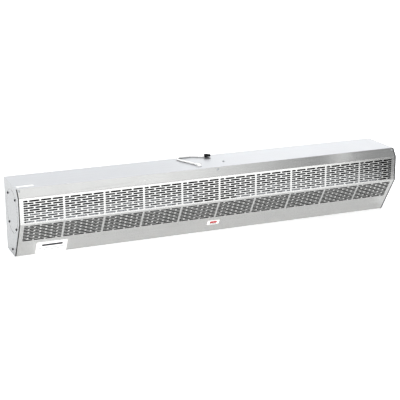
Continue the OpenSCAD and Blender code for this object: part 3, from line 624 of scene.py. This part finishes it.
case_screw = pan_screw(6.0)
print("one screw:", len(case_screw.vertices), "points")

# %% [markdown]
# ## Where the screws go
# On each end plate four screws hold the bearing plate, on a square round the
# wheels' axis, and one holds the nozzle's end. Along the cover's top edge sit
# three more, square to the slanted band, and one stands on the top sheet. A
# placement is written as a matrix: turn the screw's +Z to the outside, then move
# it to its hole.

# %% Screws on the case
AXIS_Y, AXIS_Z = -6.0, 170.0
SQUARE_HALF = 54.0
FOOT_SCREW = (16.0, 20.0)
END_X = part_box("left_end_plate")[0].x / MM
FRONT_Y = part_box("front_cover")[0].y / MM
BROW_SETBACK, BROW_H = 21.0, 30.0
BROW_Z = TOP_Z - BROW_H

holes = [(AXIS_Y + y * SQUARE_HALF, AXIS_Z + z * SQUARE_HALF) for y in (-1, 1) for z in (-1, 1)]
end_places = []
for side in (-1, 1):
    for k, (y, z) in enumerate(holes + [FOOT_SCREW]):
        outward = Matrix.Rotation(side * math.pi / 2, 4, "Y") @ Matrix.Rotation(0.7 * k + side, 4, "Z")
        end_places.append(Matrix.Translation(Vector((-side * END_X, y, z)) * MM) @ outward)
end_screws = piece("end_plate_screw_set", repeated("end_plate_screw_set", case_screw, end_places))
end_screws.data.materials.append(dark_zinc)
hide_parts("end_plate_screws")

band_up = Vector((0, BROW_SETBACK, BROW_H)).normalized()
band_out = Vector((0, -BROW_H, BROW_SETBACK)).normalized()
BAND_SCREW_UP = math.hypot(BROW_SETBACK, BROW_H) - 9.0
facing = Matrix((Vector((1, 0, 0)), band_up, band_out)).transposed().to_4x4()
cover_places = []
for x in (END_X + 10, 0, -END_X - 10):
    spot = Vector((x, FRONT_Y, BROW_Z)) + BAND_SCREW_UP * band_up
    cover_places.append(Matrix.Translation(spot * MM) @ facing)
cover_screws = piece("cover_screw_set", repeated("cover_screw_set", case_screw, cover_places))
cover_screws.data.materials.append(zinc_plate)
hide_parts("cover_screws")

TOP_SCREW = (56.0, -12.0)
top_screw = piece("top_screw", pan_screw(5.0), Matrix.Translation(Vector((*TOP_SCREW, TOP_Z)) * MM))
top_screw.data.materials.append(zinc_plate)
print("screws:", len(end_places), "on the ends,", len(cover_places), "on the cover, 1 on the top")

# %% [markdown]
# ## Dark strips of painted shade in the grooves
# The cover's side edges stop a few millimetres short of the case ends. In the
# groove that is left lies a black strip with a rubber finish. It is painted shade
# that draws the dark line of the shaded gap round the front of each end plate. Its
# path is the case's own outline, drawn in by a little, and each strip is that path given a width and a
# thickness.

# %% Dark strips of painted shade
BEND_Z = 144.0
SOLE_Y = -12.0
SKIN_T = 1.2
GROOVE = (757.7, 760.3)
STRIP_TOP, STRIP_FOOT = 0.5, SKIN_T - 0.05
STRIP_SHORT = 2.0
front_line = [Vector((FRONT_Y + BROW_SETBACK, TOP_Z)), Vector((FRONT_Y, BROW_Z)), Vector((FRONT_Y, BEND_Z)),
              Vector((SOLE_Y, 0.0))]


def drawn_in(path, depth):
    """The path moved to its left, its corners where the moved edges meet, its ends clear of the folds."""
    ways = [(b - a).normalized() for a, b in zip(path, path[1:])]
    lefts = [Vector((-w.y, w.x)) for w in ways]
    moved = [path[0] + depth * lefts[0] + STRIP_SHORT * ways[0]]
    for corner, m, n in zip(path[1:], lefts, lefts[1:]):
        moved.append(corner + depth * (m + n) / (1 + m.dot(n)))
    return moved + [path[-1] + depth * lefts[-1] - STRIP_SHORT * ways[-1]]


form = bmesh.new()
for side in (-1, 1):
    rails = []
    for x in GROOVE:
        for depth in (STRIP_TOP, STRIP_FOOT):
            path = drawn_in(front_line, depth)
            rails.append([form.verts.new(Vector((side * x, y, z)) * MM) for y, z in path])
    top_in, low_in, top_out, low_out = rails
    for a, b in ((top_in, top_out), (top_out, low_out), (low_out, low_in), (low_in, top_in)):
        for k in range(len(a) - 1):
            form.faces.new((a[k], a[k + 1], b[k + 1], b[k]))
    for k in (0, -1):
        form.faces.new((top_in[k], top_out[k], low_out[k], low_in[k]))
bmesh.ops.recalc_face_normals(form, faces=form.faces)
# Painted shade: a black strip in each groove, where shade falls between the cover and the end plate.
shade_lines = piece("groove_shade_lines", meshed("groove_shade_lines", form))
shade_lines.data.materials.append(rubber)
print("sealing strips:", len(shade_lines.data.polygons), "faces")

# %% [markdown]
# ## Labels
# The slanted part of the cover carries a white sticker at the left and a small
# badge in the middle. The sticker shows a dark bar and two pale rules, the badge a
# red bar and a dark rule. All are thin plates with round corners, placed by their
# distance along the case and down the slope. A white strip on the top is a painted highlight.


# %% Labels
PRINT_ROUGH = 0.35


def printed(name, colour):
    """Printed vinyl or paint: a smooth coat over a very slightly mottled sheet."""
    material, tree, shader = finish(name, colour, Roughness=PRINT_ROUGH, IOR=1.5)
    skin = noise(tree, 2.0, 2.0)
    tree.links.new(spread(tree, skin, PRINT_ROUGH - 0.04, PRINT_ROUGH + 0.06), shader.inputs["Roughness"])
    relief(tree, shader, skin, 0.01)
    return material


white_vinyl = printed("white_vinyl", "#f4f4f2")
dark_ink = printed("dark_ink", "#3c3d41")
pale_ink = printed("pale_ink", "#9c9ea4")
red_ink = printed("red_ink", "#c2474a")

slope_down = Vector((0, SOLE_Y - FRONT_Y, -BEND_Z)).normalized()
slope_out = Vector((0, -BEND_Z, FRONT_Y - SOLE_Y)).normalized()
slope_face = Matrix((Vector((1, 0, 0)), -slope_down, slope_out)).transposed().to_4x4()


def on_slope(x, down, lift):
    """A placement on the slanted sheet, that far down from the upper bend and off the sheet."""
    spot = Vector((x, FRONT_Y, BEND_Z)) + down * slope_down + lift * slope_out
    return Matrix.Translation(spot * MM) @ slope_face


def label(name, x, down, width, height, thick, corner, material, lift=0.0):
    """One plate of a label, stuck on the slanted sheet or on another plate."""
    mesh = plate(name, width, height, thick, corner, thick * BEVEL_SHARE)
    piece(name, mesh, on_slope(x, down, lift)).data.materials.append(material)


# Each label: its place along the case and down the slope, its size and its corners.
INK_T = 0.05
BEVEL_SHARE = 0.4
STICKER_X, STICKER_DOWN = -630.5, 138.0
STICKER_W, STICKER_H, STICKER_T = 115.0, 60.0, 0.2
label("sticker", STICKER_X, STICKER_DOWN, STICKER_W, STICKER_H, STICKER_T, 3.0, white_vinyl)
label("sticker_bar", STICKER_X + 2, STICKER_DOWN - 12, 76.0, 9.0, INK_T, 1.0, dark_ink, STICKER_T)
for k, rule_w in enumerate((92.0, 60.0)):
    rule_down = STICKER_DOWN + 4 + 9 * k
    label(f"sticker_rule_{k + 1}", STICKER_X, rule_down, rule_w, 2.4, INK_T, 0.5, pale_ink, STICKER_T)

BADGE_X, BADGE_DOWN = 1.5, 121.0
BADGE_W, BADGE_H, BADGE_T = 50.0, 24.0, 0.8
label("badge", BADGE_X, BADGE_DOWN, BADGE_W, BADGE_H, BADGE_T, 2.0, white_vinyl)
label("badge_bar", BADGE_X, BADGE_DOWN - 2, 28.0, 9.0, INK_T, 3.0, red_ink, BADGE_T)
label("badge_rule", BADGE_X, BADGE_DOWN + 6, 28.0, 2.0, INK_T, 0.5, dark_ink, BADGE_T)

# Painted highlight: a thin white plate on the top, near its front edge at the left.
HIGHLIGHT_W, HIGHLIGHT_H, HIGHLIGHT_T = 62.0, 18.0, 0.2
HIGHLIGHT_XY = (-723, -55)
highlight_plate = piece("painted_highlight_strip", plate("painted_highlight_strip", HIGHLIGHT_W, HIGHLIGHT_H, HIGHLIGHT_T, 1.0, HIGHLIGHT_T * BEVEL_SHARE),
             Matrix.Translation(Vector((*HIGHLIGHT_XY, TOP_Z)) * MM))
highlight_plate.data.materials.append(white_vinyl)
slope_angle = math.degrees(math.atan2(-slope_down.z, slope_down.y))
print("labels stand on a slope of", round(slope_angle, 1), "degrees")

# %% [markdown]
# ## The floor
# The floor is a wide white sheet that glows like a light table; its glow is painted
# light, so that it stays white to the far edge and the shadow under the case is soft.
# Metal shows what stands round it, so the floor is also what the front sees. The
# glow grows with the distance: bright in front it is painted light that whitens the
# upright part, dimmer at the foot it is painted shade that leaves the slanted part
# grey, and it stays dim behind the case. A grey card on the floor, which only reflections can see, darkens
# the right end.


# %% Floor
CASE_HALF_L = -END_X * MM
FLOOR_HALF = 40
CARD_LIFT = 0.002
# Painted light: the floor's glow, weak under the case as painted shade and strong away from it.
GLOW_UNDER, GLOW_AWAY = 0.32, 1.04
GLOW_NEAR, GLOW_FAR = 0.1, 1.0
DIM_HALF_DEPTH = 1.0


def flat_sheet(name, x_low, y_low, x_high, y_high, z):
    """A rectangle that lies flat at a height, in metres."""
    mesh = bpy.data.meshes.new(name)
    corners = [(x_low, y_low, z), (x_high, y_low, z), (x_high, y_high, z), (x_low, y_high, z)]
    mesh.from_pydata(corners, [], [(0, 1, 2, 3)])
    made = bpy.data.objects.new(name, mesh)
    bpy.context.scene.collection.objects.link(made)
    made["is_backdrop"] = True
    return made


def vector_step(tree, operation, source, by=(0, 0, 0)):
    """One step of arithmetic with vectors, such as taking a fixed one away."""
    node = add(tree, "ShaderNodeVectorMath", {1: by}, {0: source}, operation=operation)
    return node.outputs["Value" if operation == "LENGTH" else "Vector"]


def painted_glow_floor():
    """White floor whose glow is painted light: it grows with the distance from a dim zone of painted shade
    under and behind the case.
    """
    material, tree, shader = finish("white_floor_painted_glow", "#f2f2f2", Roughness=0.5, IOR=1.49)
    shader.inputs["Emission Color"].default_value = linear("#ffffff")
    spot = add(tree, "ShaderNodeTexCoord").outputs["Object"]
    from_centre = vector_step(tree, "ABSOLUTE", vector_step(tree, "SUBTRACT", spot, (0, DIM_HALF_DEPTH, 0)))
    beyond = vector_step(tree, "SUBTRACT", from_centre, (CASE_HALF_L, DIM_HALF_DEPTH, 0))
    away = vector_step(tree, "LENGTH", vector_step(tree, "MAXIMUM", beyond))
    near_to_far = {"From Min": GLOW_NEAR, "From Max": GLOW_FAR, "To Min": GLOW_UNDER, "To Max": GLOW_AWAY}
    glow = add(tree, "ShaderNodeMapRange", near_to_far, {"Value": away}, interpolation_type="SMOOTHSTEP")
    tree.links.new(glow.outputs[0], shader.inputs["Emission Strength"])
    return material


floor = flat_sheet("floor", -FLOOR_HALF, -FLOOR_HALF, FLOOR_HALF, FLOOR_HALF, 0)
floor.data.materials.append(painted_glow_floor())
card = flat_sheet("card", 1.02, -1.5, 2.4, -0.3, CARD_LIFT)
card.data.materials.append(finish("grey_card", "#787878", Roughness=0.6)[0])
card.visible_camera = card.visible_diffuse = card.visible_shadow = False
print("floor and card laid")

# %% [markdown]
# ## The lights
# Lights are softboxes above the front for the slanted band, left of the camera for
# the lead, the screws and the labels, low behind for the top sheet, and a mild one
# overhead. The one at the left can be strong: hardly any metal mirrors it from here.
# The band shows how a brushed sheet mirrors: each point of it sees a line across
# the ceiling, square to the grain, and nothing beside it. So the panel above the
# front is a row of strips: a wide one, then narrow ones that grow dimmer to the
# right and draw the band's slow fall into grey, and after a gap one that draws the
# streak. Seen from the camera those lines lie skew, so the whole panel is turned.


# %% Lights
def softbox(name, place, aim, width, height, radiance, turn=0.0):
    """A rectangular area light of a given radiance, which metal shows the same at any size."""
    lamp = bpy.data.lights.new(name, "AREA")
    lamp.shape = "RECTANGLE"
    lamp.size, lamp.size_y = width, height
    lamp.energy = radiance * math.pi * width * height
    made = bpy.data.objects.new(name, lamp)
    facing = (Vector(aim) - Vector(place)).to_track_quat("-Z", "Y").to_matrix().to_4x4()
    made.matrix_world = Matrix.Translation(place) @ facing @ Matrix.Rotation(math.radians(turn), 4, "Z")
    bpy.context.scene.collection.objects.link(made)


CEILING = 3.2
PANEL_TURN = 16.0
PANEL_DEPTH = 2.4
PANEL_EDGE = Vector((1.2, -2.25, CEILING))
# Width and radiance of each strip, from left to right; a radiance of 0 is a gap.
PANEL = [(4.6, 0.92), (0.25, 0.80), (0.25, 0.66), (0.25, 0.48), (0.24, 0.26), (0.25, 0.0), (0.12, 1.05)]
across = Vector((math.cos(math.radians(PANEL_TURN)), math.sin(math.radians(PANEL_TURN)), 0))
at = -PANEL[0][0]
for k, (width, radiance) in enumerate(PANEL):
    spot = PANEL_EDGE + (at + width / 2) * across
    at += width
    if radiance:
        below = spot + Vector((0, 0.01, -3))
        softbox(f"ceiling_{k}", spot, below, width, PANEL_DEPTH, radiance, PANEL_TURN)

# Each box: its place, the point it faces, its width, its height and its radiance.
softbox("front", (-3.9, -4.9, 2.2), (-0.1, 0, 0.2), 4.6, 3.2, 4.8)
softbox("overhead", (0.0, 0.5, 3.4), (0.0, 0.4, 0), 5.0, 2.4, 0.9)
softbox("rear_left", (0.2, 4.6, 2.2), (0.2, 0, 0.3), 3.4, 2.4, 0.94)
softbox("rear_right", (3.7, 4.6, 2.2), (3.7, 0, 0.3), 3.6, 2.4, 1.24)

world = bpy.data.worlds.new("studio")
world.use_nodes = True
backdrop = world.node_tree.nodes["Background"]
backdrop.inputs["Color"].default_value = linear("#f9fafb")
backdrop.inputs["Strength"].default_value = 0.66
bpy.context.scene.world = world

# %% [markdown]
# ## The print
# A product picture is printed with more contrast than the plain display curve
# gives. The curve stays Blender's standard one, and a gamma below 1 deepens its
# middle tones. White stays white, so the slots of the grille turn dark beside it.

# %% Print contrast
display = bpy.context.scene.view_settings
display.view_transform = "Standard"
display.gamma = 0.7
print("display:", display.view_transform, "gamma", round(display.gamma, 2))

dressed_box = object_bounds()
growth = [[round((a - b) / MM, 2) for a, b in zip(x, y)] for x, y in zip(dressed_box, parts_box)]
print("grew by, mm:", growth)
